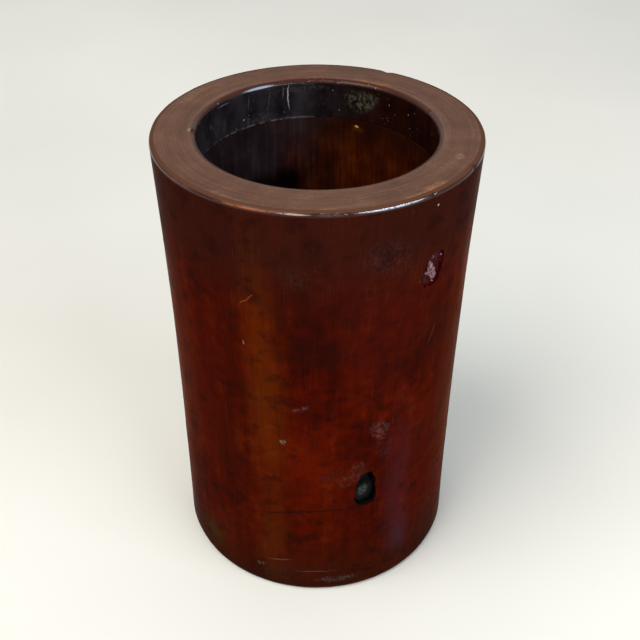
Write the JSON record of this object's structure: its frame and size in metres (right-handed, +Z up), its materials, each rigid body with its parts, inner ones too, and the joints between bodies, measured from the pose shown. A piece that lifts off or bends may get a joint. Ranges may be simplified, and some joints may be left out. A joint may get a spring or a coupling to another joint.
{
  "type": "pen holder cup",
  "caption": "Round desk cup for pens or brushes, a thick-walled bamboo tube with dark red lacquer, an open mouth and a let-in wooden floor.",
  "frame": {"origin": "centre of the foot, on the surface that the cup stands on", "axes": "+Z up along the cup's axis, -Y the front, with the bud scar to the right of it, +X to the right"},
  "size_m": [0.1038, 0.1038, 0.161],
  "materials": {
    "bamboo_wall": "matte stained end grain, dark amber bore",
    "red_lacquer": "aged translucent red-brown lacquer, glossy, mottled and rubbed",
    "dark_lacquer": "glossy brown-black lacquer",
    "floor_wood": "stained wood, dull",
    "lacquer_putty": "dull black-brown putty",
    "bamboo_pegs": "bare bamboo",
    "black_lacquer": "glossy black lacquer",
    "chip_filler": "dull pinkish filler"
  },
  "bodies": {
    "root": {"culm_wall": "bamboo_wall", "outer_lacquer": "red_lacquer", "mouth_lacquer": "dark_lacquer", "floor_disc": "floor_wood", "floor_putty": "lacquer_putty", "floor_pegs": "bamboo_pegs", "bud_scar_fill": "black_lacquer", "chip_fill": "chip_filler"}
  },
  "joints": []
}
